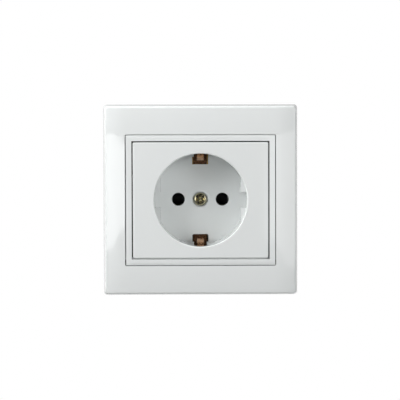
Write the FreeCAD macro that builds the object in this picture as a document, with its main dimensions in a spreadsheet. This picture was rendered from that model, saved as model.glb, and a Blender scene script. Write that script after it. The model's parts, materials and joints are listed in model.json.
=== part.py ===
import FreeCAD, Part
import math
import os
import re
import Sketcher

# Flush wall socket for round two-pin plugs with side earth contacts.
# The origin is the middle of the wall surface, +Z is up and the front faces -Y.
# Depths are y values: negative in front of the wall, positive inside the flush box.

DRIVING_SIZES = [
    # Cover frame: a hollow moulding with a crowned front round a wide window
    ("side_bar", 9.7),
    ("top_bar", 13.05),
    ("frame_draft", 1.3),
    ("frame_crest", 9.8),
    ("frame_land", 0.45),
    ("frame_side_drop", 1.1),
    ("frame_top_drop", 0.55),
    ("frame_corner_radius", 1.6),
    ("frame_edge_radius", 1.0),
    ("frame_wall", 2.0),
    ("frame_front_wall", 2.6),
    ("window_side_margin", 12.1),
    ("window_top_margin", 8.0),
    ("window_corner_radius", 0.7),
    ("window_lip_radius", 0.15),
    ("collar_wall", 1.6),
    ("frame_ledge_width", 2.2),
    ("ledge_thickness", 1.5),
    ("frame_rib_thickness", 1.2),
    ("frame_rib_back", 4.2),
    ("side_rib_height", 15.0),
    ("top_rib_offset", 18.0),
    # Insert ring between the frame and the centre plate
    ("ring_gap", 0.18),
    ("ring_bar", 2.57),
    ("ring_crest", 9.7),
    ("ring_corner_radius", 0.5),
    ("ring_facet_width", 1.1),
    ("ring_facet_drop", 0.22),
    ("ring_ledge_width", 1.5),
    ("ring_pip_width", 5.0),
    ("left_ring_pip_width", 8.5),
    # Centre plate with the plug well, in one moulding
    ("plate_gap", 0.5),
    ("plate_crest", 9.9),
    ("plate_thickness", 2.0),
    ("plate_corner_radius", 0.6),
    ("plate_edge_radius", 0.35),
    ("skirt_gap", 0.15),
    ("skirt_wall", 1.2),
    ("skirt_depth", 1.7),
    ("well_diameter", 39.0),
    ("well_wall", 1.3),
    ("well_depth", 17.5),
    ("well_rim_radius", 0.5),
    ("floor_thickness", 2.0),
    ("guide_depth", 2.5),
    ("guide_setback", 2.7),
    ("guide_notch", 6.6),
    ("pin_pitch", 19.0),
    ("pin_hole_diameter", 5.6),
    ("pin_hole_lip", 0.2),
    ("earth_window_width", 6.9),
    ("earth_window_neck", 5.5),
    ("earth_window_inset", 4.4),
    ("earth_window_step_inset", 1.1),
    ("earth_window_radius", 0.7),
    ("earth_window_front", 4.4),
    ("boss_diameter", 9.5),
    ("boss_height", 1.3),
    # Screws
    ("cover_screw_diameter", 2.9),
    ("cover_screw_head", 5.5),
    ("cover_screw_head_height", 1.7),
    ("cover_screw_length", 14.0),
    ("cross_recess_length", 3.4),
    ("cross_recess_width", 0.9),
    ("cross_recess_depth", 1.2),
    ("counterbore_diameter", 6.7),
    ("screw_clearance", 0.25),
    ("shank_point", 0.4),
    ("thread_clearance", 0.04),
    ("terminal_screw_head", 5.2),
    ("terminal_screw_head_height", 2.0),
    ("terminal_screw_length", 11.0),
    ("screw_slot_width", 0.8),
    ("screw_slot_depth", 1.0),
    ("cap_screw_diameter", 2.2),
    ("cap_screw_head", 4.2),
    ("cap_screw_head_height", 1.1),
    ("cap_screw_length", 10.0),
    ("cap_screw_slot_width", 0.6),
    ("cap_screw_slot_depth", 0.5),
    ("cap_screw_side_inset", 9.9),
    ("cap_screw_top_inset", 8.0),
    # Steel support plate
    ("support_side_margin", 4.25),
    ("support_top_margin", 4.0),
    ("support_corner_cut", 9.0),
    ("support_thickness", 1.0),
    ("wall_gap", 0.3),
    ("well_clearance", 0.8),
    ("arm_slot_clearance", 0.9),
    ("box_screw_pitch", 60.0),
    ("box_screw_hole", 3.8),
    ("rivet_diameter", 2.4),
    ("rivet_head", 4.2),
    ("rivet_top", 2.8),
    ("rivet_head_height", 0.7),
    ("rivet_length", 6.0),
    ("rivet_side_inset", 3.8),
    ("rivet_top_inset", 3.8),
    # Insulating base and its cap
    ("base_side_wall", 0.3),
    ("base_flat_depth", 1.1),
    ("base_corner_radius", 6.0),
    ("base_back_margin", 1.6),
    ("base_back_rounding", 1.0),
    ("claw_gap_width", 14.4),
    ("arm_gap_width", 16.8),
    ("arm_gap_depth", 1.6),
    ("base_recess_clearance", 0.3),
    ("cap_gap", 0.3),
    ("cap_floor", 1.0),
    ("cap_clearance", 0.15),
    ("cap_pin_hole", 6.4),
    ("seat_clearance", 0.2),
    ("chamber_floor", 2.0),
    ("wire_channel_width", 3.8),
    ("wire_space", 2.8),
    # Line contacts and terminals
    ("pin_diameter", 4.8),
    ("leaf_thickness", 0.8),
    ("leaf_grip", 0.1),
    ("leaf_width", 5.5),
    ("leaf_length", 7.8),
    ("contact_width", 8.0),
    ("terminal_margin", 3.2),
    ("contact_setback", 0.9),
    ("terminal_inset", 5.0),
    ("clamp_length", 5.4),
    ("clamp_width", 6.6),
    ("clamp_thickness", 1.2),
    # Earth strip, its two spring arms and its terminal lug
    ("strip_width", 6.0),
    ("strip_thickness", 0.8),
    ("collar_diameter", 4.6),
    ("collar_height", 2.4),
    ("arm_width", 3.0),
    ("arm_clearance", 0.45),
    ("arm_bend_radius", 1.4),
    ("arm_fold_radius", 1.5),
    ("arm_curl_radius", 0.93),
    ("arm_fold_front", 3.2),
    ("arm_contact_inset", 2.8),
    ("arm_contact_depth", 1.2),
    ("arm_tail_depth", 5.0),
    ("arm_tail_inset", 0.9),
    ("lug_width", 8.0),
    ("lug_thickness", 1.0),
    ("lug_foot_length", 8.8),
    ("lug_tail_length", 10.4),
    ("earth_screw_inset", 6.8),
    ("earth_rivet_inset", 7.0),
    ("earth_rivet_diameter", 2.4),
    ("earth_rivet_head", 3.8),
    ("earth_rivet_top", 2.66),
    ("earth_rivet_head_height", 0.5),
    # Spreader claws
    ("claw_width", 6.0),
    ("claw_thickness", 1.2),
    ("claw_pivot_spacing", 6.2),
    ("claw_pivot_depth", 2.6),
    ("claw_curl_radius", 1.8),
    ("claw_pin_diameter", 1.6),
    ("claw_pin_clearance", 0.1),
    ("claw_pin_head", 2.6),
    ("claw_pin_head_height", 0.5),
    ("claw_arm_length", 15.8),
    ("claw_arm_lean", 1.0),
    ("claw_foot_length", 1.8),
    ("claw_foot_reach", 2.5),
    ("claw_tooth_depth", 1.1),
    ("claw_notch_width", 2.4),
    ("claw_lever_arm", 3.4),
    ("claw_screw_diameter", 2.9),
    ("claw_screw_head", 5.0),
    ("claw_screw_head_height", 1.8),
    ("claw_screw_travel", 1.15),
    ("claw_lever_end", 2.0),
    ("lever_gap", 0.08),
    ("ear_gap", 0.2),
    ("ear_length", 4.8),
    ("ear_width", 3.0),
]

WORKED_OUT_PLACES = [
    # Each one is a depth, a width or a height that follows from the driving sizes
    ("window_width", "well_diameter + 2 * window_side_margin"),
    ("window_height", "well_diameter + 2 * window_top_margin"),
    ("frame_width", "window_width + 2 * side_bar"),
    ("frame_height", "window_height + 2 * top_bar"),
    ("frame_hollow_front", "-(frame_crest - frame_front_wall)"),
    ("plate_front", "-plate_crest"),
    ("plate_back", "plate_front + plate_thickness"),
    ("ring_back", "plate_back + ledge_thickness"),
    ("frame_ledge_back", "ring_back + ledge_thickness"),
    ("ring_width", "window_width - 2 * ring_gap"),
    ("ring_height", "window_height - 2 * ring_gap"),
    ("ring_opening_width", "ring_width - 2 * ring_bar"),
    ("ring_opening_height", "ring_height - 2 * ring_bar"),
    ("plate_width", "ring_opening_width - 2 * plate_gap"),
    ("plate_height", "ring_opening_height - 2 * plate_gap"),
    ("ledge_opening_width", "ring_opening_width - 2 * ring_ledge_width"),
    ("ledge_opening_height", "ring_opening_height - 2 * ring_ledge_width"),
    ("well_outer_diameter", "well_diameter + 2 * well_wall"),
    ("guide_spacing", "well_diameter - 2 * guide_depth"),
    ("earth_window_start", "well_diameter / 2 - earth_window_inset"),
    ("earth_window_step", "well_diameter / 2 - earth_window_step_inset"),
    ("floor_front", "plate_front + well_depth"),
    ("floor_back", "floor_front + floor_thickness"),
    ("boss_back", "floor_back + boss_height"),
    ("strip_back", "boss_back + strip_thickness"),
    ("lug_back", "strip_back + lug_thickness"),
    ("cap_front", "floor_back + cap_gap"),
    ("cap_back", "lug_back + cap_floor"),
    ("support_back", "-wall_gap"),
    ("support_front", "support_back - support_thickness"),
    ("support_width", "frame_width - 2 * (frame_wall + support_side_margin)"),
    ("support_height", "frame_height - 2 * (frame_wall + support_top_margin)"),
    ("support_opening", "well_outer_diameter + 2 * well_clearance"),
    ("base_recess_diameter", "well_outer_diameter + 2 * base_recess_clearance"),
    ("base_width", "base_recess_diameter + 2 * base_side_wall"),
    ("base_height", "base_recess_diameter - 2 * base_flat_depth"),
    ("rivet_across", "base_width / 2 - rivet_side_inset"),
    ("rivet_up", "base_height / 2 - rivet_top_inset"),
    ("cap_screw_across", "base_width / 2 - cap_screw_side_inset"),
    ("cap_screw_up", "base_height / 2 - cap_screw_top_inset"),
    ("lug_start", "base_height / 2 - lug_foot_length"),
    ("lug_tail_end", "base_height / 2 - lug_tail_length"),
    ("earth_screw_up", "base_height / 2 - earth_screw_inset"),
    ("earth_rivet_up", "base_height / 2 - earth_rivet_inset"),
    ("pin_offset", "pin_pitch / 2"),
    ("leaf_inner", "pin_diameter / 2 - leaf_grip"),
    ("leaf_outer", "leaf_inner + leaf_thickness"),
    ("contact_front", "cap_back + contact_setback"),
    ("tail_back", "contact_front + leaf_length"),
    ("tail_front", "tail_back - leaf_thickness"),
    ("contact_web", "pin_offset + leaf_width / 2"),
    ("terminal_offset", "base_width / 2 - terminal_inset"),
    ("contact_reach", "terminal_offset + terminal_margin"),
    ("clamp_front", "tail_back + wire_space"),
    ("clamp_back", "clamp_front + clamp_thickness"),
    ("base_depth", "clamp_back + terminal_screw_head_height + base_back_margin"),
    ("lug_tail_back", "tail_back + seat_clearance"),
    ("earth_clamp_front", "lug_tail_back + wire_space"),
    ("earth_clamp_back", "earth_clamp_front + clamp_thickness"),
    ("arm_inner", "well_outer_diameter / 2 + arm_clearance"),
    ("arm_outer", "arm_inner + strip_thickness"),
    ("arm_contact", "well_diameter / 2 - arm_contact_inset"),
    ("arm_tail_reach", "well_diameter / 2 - arm_tail_inset"),
    ("claw_pivot_across", "base_width / 2 + claw_pivot_spacing"),
    ("claw_screw_across", "claw_pivot_across - claw_lever_arm"),
    ("claw_lever_reach", "claw_screw_across - claw_lever_end"),
    ("claw_arm_end_across", "claw_pivot_across - claw_arm_lean"),
    ("claw_arm_end_depth", "claw_pivot_depth + claw_arm_length"),
    ("claw_foot_across", "claw_arm_end_across + claw_foot_reach"),
    ("claw_foot_depth", "claw_arm_end_depth + claw_foot_length"),
    ("lever_front", "claw_pivot_depth - claw_thickness / 2"),
    ("claw_screw_tip", "lever_front - lever_gap"),
    ("claw_screw_head_back", "support_front - claw_screw_travel - screw_clearance"),
    ("ear_inner", "claw_width / 2 + ear_gap"),
    ("ear_outer", "ear_inner + support_thickness"),
    ("ear_back", "support_back + ear_length"),
]

SIZE_NAMES = {name for name, number in DRIVING_SIZES}
PLACE_NAMES = {name for name, formula in WORKED_OUT_PLACES}
SIDES = (("left", -1), ("right", 1))
ALONG = {
    "x": FreeCAD.Rotation(FreeCAD.Vector(0, 1, 0), 90),
    "y": FreeCAD.Rotation(FreeCAD.Vector(1, 0, 0), -90),
    "z": FreeCAD.Rotation(),
}
# How far a cut runs past the face that it opens
PAST = 1.0
# Outside radius of a sharp fold, as a share of the sheet's thickness
FOLD_SHARE = 0.9
# Chamfer at the mouth of a contact, as a share of its leaf's thickness
MOUTH_SHARE = 0.6
# Rounding round the top of a pan head, as a share of its height
CROWN_SHARE = 0.45

document = FreeCAD.newDocument("WallSocket")
sizes = document.addObject("Spreadsheet::Sheet", "Sizes")
places = document.addObject("Spreadsheet::Sheet", "Places")
working = document.addObject("Spreadsheet::Sheet", "Working")
nodes = {}


def bound(text):
    """A sum of sizes, with each name led by the sheet that holds it."""

    def with_sheet(match):
        word = match.group(0)
        if word in SIZE_NAMES:
            return "Sizes." + word
        if word in PLACE_NAMES:
            return "Places." + word
        return word

    return re.sub(r"[a-z]\w*", with_sheet, text)


def fill_sheets():
    for row, (name, number) in enumerate(DRIVING_SIZES, start=1):
        sizes.set(f"A{row}", name)
        sizes.set(f"B{row}", str(number))
        sizes.setAlias(f"B{row}", name)
    for row, (name, formula) in enumerate(WORKED_OUT_PLACES, start=1):
        places.set(f"A{row}", name)
        places.set(f"B{row}", "=" + bound(formula))
        places.setAlias(f"B{row}", name)
    document.recompute()


def value(name):
    """The number that a sheet holds under this name, in mm."""
    sheet = sizes if name in SIZE_NAMES else places
    return float(getattr(sheet, name))


def bind(thing, name, text):
    thing.setExpression(name, bound(text))


def new_body(name):
    body = document.addObject("PartDesign::Body", name)
    body.Label = name
    nodes[name] = body
    return body


def new_feature(name, shape):
    """A sub-part whose shape is made from the sheets' numbers by code."""
    feature = document.addObject("Part::Feature", name)
    feature.Label = name
    feature.Shape = shape
    feature.Placement = FreeCAD.Placement()
    nodes[name] = feature
    return feature


def plane_of(body, role):
    return next(plane for plane in body.Origin.OriginFeatures if plane.Role == role)


def new_sketch(body, name, role, offset):
    """A sketch on one of the body's own origin planes, moved along its normal."""
    sketch = body.newObject("Sketcher::SketchObject", name)
    sketch.AttachmentSupport = [(plane_of(body, role), "")]
    sketch.MapMode = "FlatFace"
    bind(sketch, "AttachmentOffset.Base.z", offset)
    return sketch


def middle(width):
    """The span of a width that is centred on zero."""
    return (f"-({width}) / 2", f"({width}) / 2")


def about(centre, width):
    return (f"{centre} - ({width}) / 2", f"{centre} + ({width}) / 2")


def on_side(sign, near, far):
    """A span from near to far on the right, and its mirror image on the left."""
    return (near, far) if sign > 0 else (f"-({far})", f"-({near})")


def block(body, name, x, y, z, cut=False):
    """A block from its spans, added to the body or cut out of it."""
    kind = "PartDesign::SubtractiveBox" if cut else "PartDesign::AdditiveBox"
    piece = body.newObject(kind, name)
    for side, axis, (low, high) in zip(("Length", "Width", "Height"), "xyz", (x, y, z)):
        bind(piece, side, f"({high}) - ({low})")
        bind(piece, f"Placement.Base.{axis}", low)
    return piece


def rod(body, name, axis, centre, diameter, span, cut=False, end_diameter=None):
    """A round bar or hole along an axis, or a cone where it has an end diameter."""
    form = "Cylinder" if end_diameter is None else "Cone"
    kind = "PartDesign::" + ("Subtractive" if cut else "Additive") + form
    piece = body.newObject(kind, name)
    if end_diameter is None:
        bind(piece, "Radius", f"({diameter}) / 2")
    else:
        bind(piece, "Radius1", f"({diameter}) / 2")
        bind(piece, "Radius2", f"({end_diameter}) / 2")
    bind(piece, "Height", f"({span[1]}) - ({span[0]})")
    piece.Placement = FreeCAD.Placement(FreeCAD.Vector(), ALONG[axis])
    starts = dict(zip([a for a in "xyz" if a != axis], centre))
    starts[axis] = span[0]
    for letter, text in starts.items():
        bind(piece, f"Placement.Base.{letter}", text)
    return piece


def tapered_cut(body, name, y, sizes_at_start, sizes_at_end):
    """A cut centred on the y axis, whose width and height change evenly from its start to its end."""
    piece = body.newObject("PartDesign::SubtractiveWedge", name)
    bind(piece, "Ymin", y[0])
    bind(piece, "Ymax", y[1])
    for axis, start, end in zip("XZ", sizes_at_start, sizes_at_end):
        for place, size in ((axis, start), (axis + "2", end)):
            low, high = middle(size)
            bind(piece, place + "min", low)
            bind(piece, place + "max", high)
    return piece


def number(text):
    """What a sum of sizes comes to, in mm."""
    working.set("A1", "=" + bound(text))
    working.recompute()
    return float(working.get("A1"))


def outline(body, name, role, offset, corners):
    """A closed sketch with straight sides, each corner held to sums of sizes along the sketch's axes."""
    sketch = new_sketch(body, name, role, offset)
    points = [FreeCAD.Vector(number(across), number(up), 0) for across, up in corners]
    for start, end in zip(points, points[1:] + points[:1]):
        sketch.addGeometry(Part.LineSegment(start, end), False)
    join_in_turn(sketch, len(corners))
    for index, texts in enumerate(corners):
        for kind, other_axis, text in zip(("DistanceX", "DistanceY"), (-2, -1), texts):
            distance = number(text)
            label = f"corner_{index}_{kind[-1].lower()}"
            if text == "0":
                sketch.addConstraint(Sketcher.Constraint("PointOnObject", index, 1, other_axis))
            elif distance > 0:
                name_distance(sketch, kind, (-1, 1), (index, 1), label, text, distance)
            else:
                name_distance(sketch, kind, (index, 1), (-1, 1), label, f"-({text})", -distance)
    return sketch


def turned(body, name, centre, corners):
    """A solid of revolution about a line along y, from the radius and depth of its profile's corners."""
    x, z = centre
    sketch = outline(body, name + "_profile", "XY_Plane", z, corners)
    bind(sketch, "AttachmentOffset.Base.x", x)
    piece = body.newObject("PartDesign::Revolution", name)
    piece.Profile = sketch
    piece.ReferenceAxis = (sketch, ["V_Axis"])
    piece.Angle = 360
    return piece


def extruded(body, name, role, span, corners):
    """A pad of a straight-sided outline, over a span along the normal of one of the body's planes."""
    sketch = outline(body, name + "_outline", role, span[0], corners)
    return pad(body, name, sketch, f"({span[1]}) - ({span[0]})")


def mirrored(body, name, originals, *roles):
    """The same features on the other side of one or two of the body's own planes."""
    if len(roles) == 1:
        copies = body.newObject("PartDesign::Mirrored", name)
        copies.Originals = originals
        copies.MirrorPlane = (plane_of(body, roles[0]), [""])
    else:
        copies = body.newObject("PartDesign::MultiTransform", name)
        copies.Originals = originals
        steps = []
        for role in roles:
            step = body.newObject("PartDesign::Mirrored", f"{name}_{role[:2].lower()}")
            step.MirrorPlane = (plane_of(body, role), [""])
            steps.append(step)
        copies.Transformations = steps
    body.Tip = copies
    return copies


def turned_over(body, name, originals):
    """The same features after half a turn about the y axis."""
    copies = body.newObject("PartDesign::PolarPattern", name)
    copies.Originals = originals
    copies.Axis = (next(line for line in body.Origin.OriginFeatures if line.Role == "Y_Axis"), [""])
    copies.Angle = 360
    copies.Occurrences = 2
    body.Tip = copies
    return copies


def cut_contact_chambers(body):
    """The hollows that hold a line contact, its terminal and the way in for the wire, left and right."""
    inner_x = "pin_offset - leaf_width / 2 - seat_clearance"
    chamber = block(
        body, "chamber", (inner_x, "contact_reach + seat_clearance"), (f"cap_back - {PAST}", "tail_back"),
        middle("contact_width + 2 * seat_clearance"), cut=True,
    )
    pin_room = block(
        body, "pin_room", (inner_x, "contact_web"), (f"tail_back - {PAST}", "base_depth - chamber_floor"),
        middle("pin_diameter + 4 * seat_clearance"), cut=True,
    )
    terminal_room = block(
        body, "terminal_room", about("terminal_offset", "clamp_length + 2 * seat_clearance"),
        (f"tail_back - {PAST}", f"base_depth + {PAST}"),
        middle("clamp_width + 2 * seat_clearance"), cut=True,
    )
    wire_channel = block(
        body, "wire_channel", about("terminal_offset", "wire_channel_width"),
        ("tail_back", "tail_back + wire_channel_width"),
        (f"clamp_width / 2 - {PAST}", f"base_height / 2 + {PAST}"), cut=True,
    )
    mirrored(body, "other_chamber", [chamber, pin_room, terminal_room, wire_channel], "YZ_Plane")


def edges_where(feature, keep):
    """The names of the feature's edges that pass a test of their box."""
    document.recompute()
    return [
        f"Edge{number}"
        for number, edge in enumerate(feature.Shape.Edges, start=1)
        if keep(edge.BoundBox)
    ]


def round_edges(body, name, radius, keep):
    base = body.Tip
    names = edges_where(base, keep)
    fillet = body.newObject("PartDesign::Fillet", name)
    fillet.Base = (base, names)
    bind(fillet, "Radius", radius)
    return fillet


def near(first, second, within=0.02):
    return abs(first - second) < within


def upright_at(box, x, z, x_size, z_size):
    """Whether an edge runs along y at one of the four corners of a rectangle."""
    thin = box.XLength < 0.01 and box.ZLength < 0.01
    return thin and near(abs(box.XMin - x), x_size / 2) and near(abs(box.ZMin - z), z_size / 2)


def pad(body, name, sketch, length):
    piece = body.newObject("PartDesign::Pad", name)
    piece.Profile = sketch
    bind(piece, "Length", length)
    return piece


def pocket(body, name, sketch, depth):
    """A cut from the sketch into the body, away from the front."""
    piece = body.newObject("PartDesign::Pocket", name)
    piece.Profile = sketch
    bind(piece, "Length", depth)
    return piece


def name_distance(sketch, kind, first, second, name, text, start):
    """A named distance between two points, held to a sum of sizes."""
    index = sketch.addConstraint(Sketcher.Constraint(kind, *first, *second, start))
    sketch.renameConstraint(index, name)
    bind(sketch, f"Constraints.{name}", text)


def join_in_turn(sketch, count):
    for number in range(count):
        following = (number + 1) % count
        sketch.addConstraint(Sketcher.Constraint("Coincident", number, 2, following, 1))


def fall_away(half, half_land, drop):
    """Control points of a level stretch whose two ends fall away in parabolas: places and falls."""
    shoulder = (half + half_land) / 2
    return [-half, -shoulder, 0, shoulder, half], [drop, 0, 0, 0, drop]


def crowned_block():
    """The frame's bulk: drafted sides, and a front that falls away all round the window."""
    half_x, half_z = value("frame_width") / 2, value("frame_height") / 2
    land_x = value("window_width") / 2 + value("frame_land")
    land_z = value("window_height") / 2 + value("frame_land")
    crest = value("frame_crest")
    across, side_falls = fall_away(half_x, land_x, value("frame_side_drop"))
    upward, top_falls = fall_away(half_z, land_z, value("frame_top_drop"))
    poles = [
        [FreeCAD.Vector(x, side_fall + top_fall - crest, z) for z, top_fall in zip(upward, top_falls)]
        for x, side_fall in zip(across, side_falls)
    ]
    repeats = [3, 1, 1, 3]
    front = Part.BSplineSurface()
    front.buildFromPolesMultsKnots(
        poles, repeats, repeats,
        [-half_x, -land_x, land_x, half_x], [-half_z, -land_z, land_z, half_z],
        False, False, 2, 2,
    )
    behind_front = front.toShape().extrude(FreeCAD.Vector(0, 2 * crest, 0))
    # The wedge is twice as deep as the frame, so that its narrow end stays clear of the front
    narrow_x, narrow_z = half_x - 2 * value("frame_draft"), half_z - 2 * value("frame_draft")
    between_sides = Part.makeWedge(
        -narrow_x, -2 * crest, -narrow_z, -half_z, -half_x,
        narrow_x, 0, narrow_z, half_z, half_x,
    )
    return behind_front.common(between_sides)


def make_cover_frame():
    """A hollow rectangular moulding whose four bars fall away from the window."""
    bulk = document.addObject("Part::Feature", "crowned_bulk")
    bulk.Shape = crowned_block()
    body = new_body("cover_frame")
    body.BaseFeature = bulk
    document.recompute()
    half_x, half_z = value("frame_width") / 2, value("frame_height") / 2
    round_edges(
        body, "outer_corners", "frame_corner_radius",
        lambda box: near(max(-box.XMin, box.XMax), half_x) and near(max(-box.ZMin, box.ZMax), half_z)
        and max(box.XLength, box.ZLength) < box.YLength,
    )
    wall_side = -value("frame_wall")
    shrink = value("frame_draft") + value("frame_corner_radius") + 0.01
    inside_x, inside_z = half_x - shrink, half_z - shrink
    round_edges(
        body, "outer_edges", "frame_edge_radius",
        lambda box: box.YMax < wall_side
        and (min(abs(box.XMin), abs(box.XMax)) > inside_x
             or min(abs(box.ZMin), abs(box.ZMax)) > inside_z)
        and box.YLength < value("frame_side_drop"),
    )
    inside = ("frame_width - 2 * frame_wall", "frame_height - 2 * frame_wall")
    narrowing = "2 * frame_draft * (-frame_hollow_front) / frame_crest"
    tapered_cut(
        body, "hollow", ("frame_hollow_front", "0"),
        [f"{size} - {narrowing}" for size in inside], inside,
    )
    # The collar and the ribs start inside the front wall
    rib_front = "frame_hollow_front - frame_wall / 4"
    collar_x = middle("window_width + 2 * collar_wall")
    collar_z = middle("window_height + 2 * collar_wall")
    block(body, "collar", collar_x, (rib_front, "frame_ledge_back"), collar_z)
    rib_y = (rib_front, "-frame_rib_back")
    rib_end = "(frame_draft + frame_wall / 2)"
    side_rib = block(
        body, "side_rib", ("window_width / 2", f"frame_width / 2 - {rib_end}"), rib_y,
        about("side_rib_height", "frame_rib_thickness"),
    )
    mirrored(body, "side_ribs", [side_rib], "YZ_Plane", "XY_Plane")
    top_rib = block(
        body, "top_rib", about("top_rib_offset", "frame_rib_thickness"), rib_y,
        ("window_height / 2", f"frame_height / 2 - {rib_end}"),
    )
    mirrored(body, "top_ribs", [top_rib], "YZ_Plane", "XY_Plane")
    front = f"-(frame_crest + {PAST})"
    window_y = (front, "ring_back")
    block(body, "window", middle("window_width"), window_y, middle("window_height"), cut=True)
    ledge_x = middle("window_width - 2 * frame_ledge_width")
    ledge_z = middle("window_height - 2 * frame_ledge_width")
    block(body, "ledge_opening", ledge_x, (front, str(PAST)), ledge_z, cut=True)
    window_x, window_z = value("window_width"), value("window_height")
    round_edges(
        body, "window_corners", "window_corner_radius",
        lambda box: upright_at(box, 0, 0, window_x, window_z),
    )
    crest = -value("frame_crest")
    round_edges(
        body, "window_lip", "window_lip_radius",
        lambda box: near(box.YMin, crest) and near(box.YMax, crest)
        and max(abs(box.XMin), abs(box.XMax)) < window_x / 2 + 0.01
        and max(abs(box.ZMin), abs(box.ZMax)) < window_z / 2 + 0.01,
    )


def make_insert_ring():
    """A thin ring with a faceted front that fills the step between frame and plate."""
    body = new_body("insert_ring")
    block(body, "bar", middle("ring_width"), ("-ring_crest", "ring_back"), middle("ring_height"))
    crest = -value("ring_crest")
    base = body.Tip
    rim = edges_where(base, lambda box: near(box.YMin, crest) and near(box.YMax, crest))
    facet = body.newObject("PartDesign::Chamfer", "outer_facet")
    facet.Base = (base, rim)
    facet.ChamferType = "Two distances"
    bind(facet, "Size", "ring_facet_width")
    bind(facet, "Size2", "ring_facet_drop")
    width, height = value("ring_width"), value("ring_height")
    round_edges(
        body, "outer_corners", "ring_corner_radius",
        lambda box: upright_at(box, 0, 0, width, height),
    )
    front = f"-(ring_crest + {PAST})"
    opening_x, opening_z = middle("ring_opening_width"), middle("ring_opening_height")
    block(body, "opening", opening_x, (front, "plate_back"), opening_z, cut=True)
    ledge_x, ledge_z = middle("ledge_opening_width"), middle("ledge_opening_height")
    block(body, "ledge_opening", ledge_x, (front, str(PAST)), ledge_z, cut=True)
    # Pips that centre the plate in the ring at mid height
    for side, sign in SIDES:
        pip_x = on_side(sign, "plate_width / 2 + plate_gap / 4", "ring_opening_width / 2 + ring_bar / 4")
        pip_z = middle("left_ring_pip_width" if sign < 0 else "ring_pip_width")
        block(body, f"pip_{side}", pip_x, ("-ring_crest + ring_facet_drop", "ring_back"), pip_z)


def strip_of_disc(sketch, diameter, strip, across):
    """The part of a disc between two parallel lines, which stand upright where across is x."""
    radius, half = value(diameter) / 2, value(strip) / 2
    reach = math.sqrt(radius ** 2 - half ** 2)
    angle = math.asin(half / radius)
    centre = FreeCAD.Vector()
    up = FreeCAD.Vector(0, 0, 1)
    circle = Part.Circle(centre, up, radius)
    if across == "x":
        ends = [(half, -reach, half, reach), (-half, reach, -half, -reach)]
        arcs = [(math.pi / 2 - angle, math.pi / 2 + angle), (1.5 * math.pi - angle, 1.5 * math.pi + angle)]
        way = "Vertical"
    else:
        ends = [(reach, half, -reach, half), (-reach, -half, reach, -half)]
        arcs = [(math.pi - angle, math.pi + angle), (-angle, angle)]
        way = "Horizontal"
    for (x1, y1, x2, y2), (start, end) in zip(ends, arcs):
        line = Part.LineSegment(FreeCAD.Vector(x1, y1, 0), FreeCAD.Vector(x2, y2, 0))
        sketch.addGeometry(line, False)
        sketch.addGeometry(Part.ArcOfCircle(circle, start, end), False)
    join_in_turn(sketch, 4)
    for line in (0, 2):
        sketch.addConstraint(Sketcher.Constraint(way, line))
    for arc in (1, 3):
        sketch.addConstraint(Sketcher.Constraint("Coincident", arc, 3, -1, 1))
    index = sketch.addConstraint(Sketcher.Constraint("Radius", 1, radius))
    sketch.renameConstraint(index, "radius")
    bind(sketch, "Constraints.radius", f"{diameter} / 2")
    sketch.addConstraint(Sketcher.Constraint("Symmetric", 0, 1, 2, 1, -1, 1))
    if across == "x":
        name_distance(sketch, "DistanceX", (2, 1), (0, 1), "strip", strip, 2 * half)
    else:
        name_distance(sketch, "DistanceY", (2, 1), (0, 1), "strip", strip, 2 * half)


def cut_plug_well(body):
    """The well: round at the rim, flat guides further in, and a notch through each guide."""
    past_front = f"plate_front - {PAST}"
    rod(body, "well_rim", "y", ("0", "0"), "well_diameter",
        (past_front, "plate_front + guide_setback"), cut=True)
    for name, strip, across in (("guides", "guide_spacing", "x"), ("notches", "guide_notch", "z")):
        sketch = new_sketch(body, name + "_outline", "XZ_Plane", "-plate_front")
        strip_of_disc(sketch, "well_diameter", strip, across)
        pocket(body, name, sketch, "well_depth")


def cut_earth_windows(body):
    """A window at the top and bottom of the well, through its floor and its wall."""
    floor_y = (f"floor_front - {PAST}", f"boss_back + {PAST}")
    wall_y = ("-earth_window_front", f"boss_back + {PAST}")
    window = block(
        body, "earth_window", middle("earth_window_width"), floor_y,
        ("earth_window_start", "earth_window_step"), cut=True,
    )
    mirrored(body, "earth_windows", [window], "XY_Plane")
    for side, sign in SIDES:
        outer_z = on_side(sign, f"earth_window_step - {PAST / 2}", f"well_outer_diameter / 2 + {PAST}")
        neck_x = middle("earth_window_neck")
        if sign > 0:
            neck_x = ("-earth_window_neck / 2", "earth_window_width / 2")
        block(body, f"window_neck_{side}", neck_x, wall_y, outer_z, cut=True)
    start, half = -value("earth_window_start"), value("earth_window_width") / 2
    round_edges(
        body, "lower_window_corners", "earth_window_radius",
        lambda box: near(box.ZMin, start) and near(box.ZMax, start)
        and near(abs(box.XMin), half) and near(abs(box.XMax), half) and box.XLength < 0.01,
    )


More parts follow.
